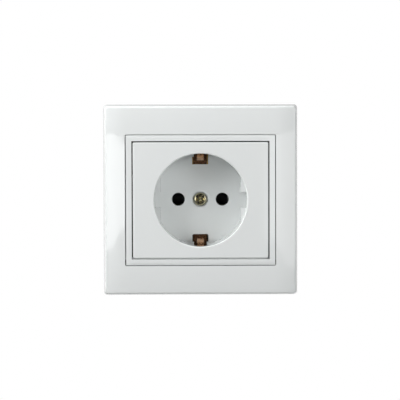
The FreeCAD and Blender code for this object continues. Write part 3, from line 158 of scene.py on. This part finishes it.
def where_all(tree, conditions):
    """How fully a point meets all conditions: each has a source, its unmet and its met value."""
    amount = 1.0
    for source, unmet, met in conditions:
        share = add_node(
            tree, "ShaderNodeMapRange", {"Value": source, "From Min": unmet, "From Max": met}
        ).outputs["Result"]
        amount = add_node(
            tree, "ShaderNodeMath", {0: amount, 1: share}, operation="MULTIPLY"
        ).outputs["Value"]
    return amount


def coordinates(tree, place):
    """X, Y and Z of a place, and then the same without their signs."""
    unsigned = add_node(tree, "ShaderNodeVectorMath", {0: place}, operation="ABSOLUTE")
    return (
        add_node(tree, "ShaderNodeSeparateXYZ", {"Vector": place}).outputs,
        add_node(tree, "ShaderNodeSeparateXYZ", {"Vector": unsigned.outputs["Vector"]}).outputs,
    )


def painted_shade_line(tree, place, half_width, half_height, reach, height_without, height_with):
    """Painted shade below the front along the outline of a rectangle, on one side of a height."""
    signed, unsigned = coordinates(tree, place)
    past_x = add_node(
        tree, "ShaderNodeMath", {0: unsigned["X"], 1: half_width}, operation="SUBTRACT"
    ).outputs["Value"]
    past_z = add_node(
        tree, "ShaderNodeMath", {0: unsigned["Z"], 1: half_height}, operation="SUBTRACT"
    ).outputs["Value"]
    past = add_node(tree, "ShaderNodeMath", {0: past_x, 1: past_z}, operation="MAXIMUM")
    away = add_node(tree, "ShaderNodeMath", {0: past.outputs["Value"]}, operation="ABSOLUTE")
    # The mask of the painted shade: near the outline, below the front, and on one side of a height
    return where_all(tree, (
        (away.outputs["Value"], reach + GAP_SHADE_EDGE, reach),
        (signed["Y"], GAP_SHADE_FROM, GAP_SHADE_FULL),
        (signed["Z"], height_without, height_with),
    ))


def painted_gap_shade(tree, place):
    """Painted shade in the gap round the plate, except below it, and in the gap below the ring."""
    # Painted shade: the inner gap is darkened except along its bottom, and the outer gap only along its
    # bottom
    inner = painted_shade_line(
        tree, place, GAP_X, GAP_Z, GAP_HALF, -GAP_Z + GAP_HALF, -GAP_Z + 3 * GAP_HALF
    )
    outer = painted_shade_line(
        tree, place, OUTER_GAP_X, OUTER_GAP_Z, OUTER_GAP_HALF, -GAP_Z - GAP_HALF, -GAP_Z - 3 * GAP_HALF
    )
    return add_node(tree, "ShaderNodeMath", {0: inner, 1: outer}, operation="MAXIMUM").outputs["Value"]


def glossy_abs():
    """White ABS from a polished mould: even colour, clear soft-edged reflections, and painted shade in
    the gaps round the plate and below the ring.
    """
    material, tree, place = new_material("glossy_white_abs")
    # Cooling leaves a very slight waviness, a few millimetres across, in the gloss
    waves = relief(tree, place, 9 * MM, 0.003 * MM, 1.0)
    # The mould's polish shows as a fine grain that breaks up the sharpest glints
    grain = relief(tree, place, 0.35 * MM, 0.00012 * MM, 2.0, under=waves)
    clean = mottled_colour(tree, place, 30 * MM, 1.0, "EFF2F2", "F1F4F3")
    # Painted shade in the narrow gaps draws dark, faintly mottled lines round the plate and below the
    # ring
    gap_shade_colour = mottled_colour(tree, place, 0.8 * MM, 3.0, "2C2B29", "4A4845")
    colour = add_node(
        tree, "ShaderNodeMix", {"Factor": painted_gap_shade(tree, place), "A": clean, "B": gap_shade_colour},
        data_type="RGBA",
    ).outputs["Result"]
    give_surface(tree, {
        "Base Color": colour,
        "IOR": ABS_IOR,
        "Roughness": patchy(tree, place, 4 * MM, 3.0, 0.03, 0.045),
        "Normal": grain,
    })
    return material


def filled_thermoplastic():
    """Mineral-filled black base moulding: satin and faintly mottled."""
    material, tree, place = new_material("mineral_filled_thermoplastic")
    give_surface(tree, {
        "Base Color": mottled_colour(tree, place, 3 * MM, 4.0, "272624", "32312F"),
        "IOR": THERMOPLASTIC_IOR,
        "Roughness": patchy(tree, place, 3 * MM, 4.0, 0.42, 0.55),
        # Spark-eroded mould surface, drawn three times as coarse as the real 0.1 mm grain
        "Normal": relief(tree, place, 0.3 * MM, 0.012 * MM, 3.0, 0.6),
    })
    return material


def metal(name, first, second, patch, smooth, rough, scratch_depth):
    """A plated or rolled metal: patches of two tones with fine random scratches."""
    material, tree, place = new_material(name)
    colour = add_node(
        tree, "ShaderNodeMix",
        {
            "Factor": patchy(tree, place, patch, 4.0, 0.0, 1.0, 0.6),
            "A": from_hex(first), "B": from_hex(second),
        },
        data_type="RGBA",
    ).outputs["Result"]
    slimmed = add_node(
        tree, "ShaderNodeMapping", {"Vector": place, "Scale": (1.0, 1.0, SCRATCH_LENGTHENING)}
    ).outputs["Vector"]
    give_surface(tree, {
        "Base Color": colour,
        "Metallic": 1.0,
        "Roughness": patchy(tree, place, patch / 3, 3.0, smooth, rough),
        "Normal": relief(tree, slimmed, SCRATCH_SPACING, scratch_depth, 3.0, 0.7),
    })
    return material


def yellow_zinc():
    """Zinc plate with a yellow chromate film: glossy olive gold that drifts a little in hue."""
    return metal(
        "yellow_chromated_zinc", "B4AC8A", "DAD3B4",
        patch=1.3 * MM, smooth=0.09, rough=0.18, scratch_depth=0.0015 * MM,
    )


def bright_zinc():
    """Zinc plate on stamped steel: bluish, with soft patches like crystals."""
    return metal(
        "bright_zinc_plated_steel", "A9AEB4", "C6CBD0",
        patch=4 * MM, smooth=0.26, rough=0.4, scratch_depth=0.004 * MM,
    )


def rolled_brass():
    """Brass strip as it comes from the rolls: warm yellow, slightly tarnished."""
    return metal(
        "rolled_brass", "A8823F", "CBA65C",
        patch=3 * MM, smooth=0.24, rough=0.4, scratch_depth=0.004 * MM,
    )


def shade_darkened_brass():
    """The line contacts' brass in their closed chambers, coloured dark brown as painted shade so that the
    pin holes look dark.
    """
    return metal(
        "shade_darkened_brass", "241D13", "3B3020",
        patch=3 * MM, smooth=0.3, rough=0.45, scratch_depth=0.004 * MM,
    )


def spring_bronze():
    """Phosphor bronze strip, tarnished and painted dark brown as shade on its deeper part, bright tan
    where a plug's contacts rub, as rubbed wear with a painted highlight.
    """
    material, tree, place = new_material("phosphor_bronze")
    patches = patchy(tree, place, 1.6 * MM, 4.0, 0.0, 1.0, 0.6)
    # A dark brown copy of the bronze paints tarnish and shade on the deeper strip, and a bright tan copy
    # paints rubbed wear and a highlight on the tips
    tarnish_and_shade_colour, bright = (
        add_node(
            tree, "ShaderNodeMix", {"Factor": patches, "A": from_hex(first), "B": from_hex(second)},
            data_type="RGBA",
        ).outputs["Result"]
        for first, second in (("4A3425", "6B4E38"), ("A87A56", "D3A680"))
    )
    unsigned = coordinates(tree, place)[1]
    # The band of the tips near the well's rim takes the bright copy: rubbed wear with a painted highlight
    rubbed_and_lit = where_all(tree, (
        (unsigned["X"], RUBBED_AND_LIT_HALF + RUBBED_AND_LIT_EDGE, RUBBED_AND_LIT_HALF - RUBBED_AND_LIT_EDGE),
        (unsigned["Z"], RUBBED_AND_LIT_FROM - RUBBED_AND_LIT_EDGE, RUBBED_AND_LIT_FROM + RUBBED_AND_LIT_EDGE),
    ))
    colour = add_node(
        tree, "ShaderNodeMix", {"Factor": rubbed_and_lit, "A": tarnish_and_shade_colour, "B": bright}, data_type="RGBA"
    ).outputs["Result"]
    # The plug's contacts leave fine lines that run out of the well
    lengthened = add_node(
        tree, "ShaderNodeMapping",
        {"Vector": place, "Scale": (1.0, RUBBED_SCALE_ALONG, RUBBED_SCALE_ALONG)},
    ).outputs["Vector"]
    give_surface(tree, {
        "Base Color": colour,
        "Metallic": 1.0,
        "Roughness": patchy(tree, place, 0.6 * MM, 3.0, 0.2, 0.34),
        "Normal": relief(tree, lengthened, RUBBED_LINES, 0.006 * MM, 2.0, 0.6),
    })
    return material


def floor_paint():
    """Matt pale studio floor, which fades into the white surroundings towards its edge."""
    material, tree, place = new_material("matt_studio_floor")
    radius = add_node(tree, "ShaderNodeVectorMath", {0: place}, operation="LENGTH").outputs["Value"]
    give_surface(tree, {
        "Base Color": mottled_colour(tree, place, 60 * MM, 2.0, "F0F0EF", "F3F3F2"),
        "Roughness": 0.9,
        "Alpha": where_all(tree, ((radius, FLOOR_SIZE / 2, FLOOR_FADE_FROM),)),
    })
    return material


def dress_nodes():
    """Give each node the finish of its material slot, and the line contacts a brass darkened as painted
    shade.
    """
    finishes = {
        "white_abs": glossy_abs(),
        "base_thermoplastic": filled_thermoplastic(),
        "yellow_zinc_steel": yellow_zinc(),
        "zinc_plated_steel": bright_zinc(),
        "brass": rolled_brass(),
        "spring_bronze": spring_bronze(),
    }
    # The line contacts get a near-black brass that paints the shade in the pin holes
    painted_dark_contacts = shade_darkened_brass()
    for part in frame["record"]["subparts"]:
        node = frame["nodes"][part["node"]]
        is_contact = part["node"].startswith("contact_")
        node.data.materials.clear()
        node.data.materials.append(painted_dark_contacts if is_contact else finishes[part["material_slot"]])


def softbox(name, place, aim, width, height, brightness, mirrored=True):
    """A flat white lamp whose face has the given brightness, the white surroundings being 1."""
    lamp = bpy.data.lights.new(name, "AREA")
    lamp.shape = "RECTANGLE"
    lamp.size = width
    lamp.size_y = height
    lamp.energy = brightness * math.pi * width * height
    thing = bpy.data.objects.new(name, lamp)
    thing.location = place
    thing.rotation_euler = (Vector(aim) - Vector(place)).to_track_quat("-Z", "Y").to_euler()
    thing.visible_glossy = mirrored
    bpy.context.collection.objects.link(thing)


def ground_place(azimuth, distance, height=0.0):
    """A point at an azimuth in degrees, counted from straight in front, positive to the right."""
    angle = math.radians(azimuth)
    return Vector((math.sin(angle) * distance, -math.cos(angle) * distance, height))


def square_softbox(name, azimuth, elevation, distance, size, brightness, mirrored=True):
    """A square softbox that looks at the socket from a direction in degrees."""
    lift = math.radians(elevation)
    place = ground_place(azimuth, distance * math.cos(lift), distance * math.sin(lift))
    softbox(name, place, (0.0, 0.0, 0.0), size, size, brightness, mirrored)


def upright_panel(name, near_front, to_side, foot, head, brightness):
    """A low panel that stands between two places, each given by its azimuth and distance."""
    first, last = ground_place(*near_front), ground_place(*to_side)
    middle = (first + last) / 2
    middle.z = (foot + head) / 2
    facing = (last - first).cross(Vector((0.0, 0.0, 1.0))).normalized()
    if facing.dot(middle) > 0:
        facing.negate()
    softbox(name, middle, middle + facing, (last - first).length, head - foot, brightness)


def backdrop(tree):
    """The surroundings' brightness: white paper behind the object, grey beside it, dark in front."""
    way = add_node(tree, "ShaderNodeTexCoord").outputs["Generated"]
    parts = add_node(tree, "ShaderNodeSeparateXYZ", {"Vector": way}).outputs
    beside, behind, dimming = (
        add_node(
            tree, "ShaderNodeMapRange",
            {"Value": source, "From Min": start, "From Max": end, "To Min": first, "To Max": last},
        ).outputs["Result"]
        for source, start, end, first, last in (
            (parts["Y"], SIDE_FROM, SIDE_FULL, 0.0, SIDE_BRIGHTNESS),
            (parts["Y"], PAPER_FROM, PAPER_FULL, 0.0, 1.0),
            (parts["Z"], PAPER_BOTTOM, PAPER_TOP, 1.0, PAPER_TOP_BRIGHTNESS),
        )
    )
    paper = add_node(tree, "ShaderNodeMath", {0: behind, 1: dimming}, operation="MULTIPLY")
    around = add_node(tree, "ShaderNodeMath", {0: beside, 1: paper.outputs["Value"]}, operation="MAXIMUM")
    # The camera itself sees plain white everywhere
    seen = add_node(tree, "ShaderNodeLightPath").outputs["Is Camera Ray"]
    return add_node(
        tree, "ShaderNodeMath", {0: around.outputs["Value"], 1: seen}, operation="MAXIMUM"
    ).outputs["Value"]


def light_studio():
    """Softboxes at both sides and behind, and two low panels that the frame's side bars mirror."""
    upright_panel("left_panel", (-5.5, 1.42), (-36.0, 0.7), foot=-0.077, head=0.055, brightness=3.8)
    upright_panel("right_panel", (4.6, 1.42), (36.0, 0.7), foot=-0.1, head=0.064, brightness=1.7)
    square_softbox("left_high", azimuth=-75.0, elevation=50.0, distance=0.48, size=0.32, brightness=6.8)
    square_softbox("left_front", azimuth=-50.0, elevation=22.0, distance=0.58, size=0.26, brightness=6.9)
    square_softbox("right_front", azimuth=46.0, elevation=8.0, distance=0.7, size=0.35, brightness=4.2)
    # It only lights the back, and a mirror image of it would swallow the frame's edges
    square_softbox(
        "behind", azimuth=180.0, elevation=0.0, distance=0.9, size=0.5, brightness=2.2, mirrored=False
    )
    world = bpy.data.worlds.new("white_studio")
    world.use_nodes = True
    tree = world.node_tree
    tree.nodes.clear()
    white = add_node(
        tree, "ShaderNodeBackground", {"Color": (1.0, 1.0, 1.0, 1.0), "Strength": backdrop(tree)}
    )
    add_node(tree, "ShaderNodeOutputWorld", {"Surface": white.outputs["Background"]})
    bpy.context.scene.world = world


def lay_floor():
    """A plain pale floor, which isn't part of the socket."""
    bpy.ops.object.select_all(action="DESELECT")
    bpy.ops.mesh.primitive_plane_add(size=FLOOR_SIZE, location=(0.0, 0.0, -FLOOR_BELOW))
    floor = bpy.context.object
    floor.name = "studio_floor"
    floor.data.materials.append(floor_paint())


def place_camera():
    """A camera that looks at the middle of the front from nearly straight ahead."""
    camera = bpy.data.objects.new("camera", bpy.data.cameras.new("camera"))
    camera.data.lens = CAMERA_LENS
    camera.data.sensor_width = SENSOR_WIDTH
    camera.data.clip_start = NEAREST_SEEN
    backwards = Vector((
        math.sin(CAMERA_AZIMUTH) * math.cos(CAMERA_ELEVATION),
        -math.cos(CAMERA_AZIMUTH) * math.cos(CAMERA_ELEVATION),
        math.sin(CAMERA_ELEVATION),
    ))
    camera.location = CAMERA_TARGET + backwards * CAMERA_DISTANCE
    facing = (-backwards).to_track_quat("-Z", "Y")
    roll = Matrix.Rotation(CAMERA_ROLL, 3, "Z")
    camera.rotation_euler = (facing.to_matrix() @ roll).to_euler()
    bpy.context.collection.objects.link(camera)
    bpy.context.scene.camera = camera


bpy.context.scene.view_settings.view_transform = "Standard"
dress_nodes()
lay_floor()
light_studio()
place_camera()
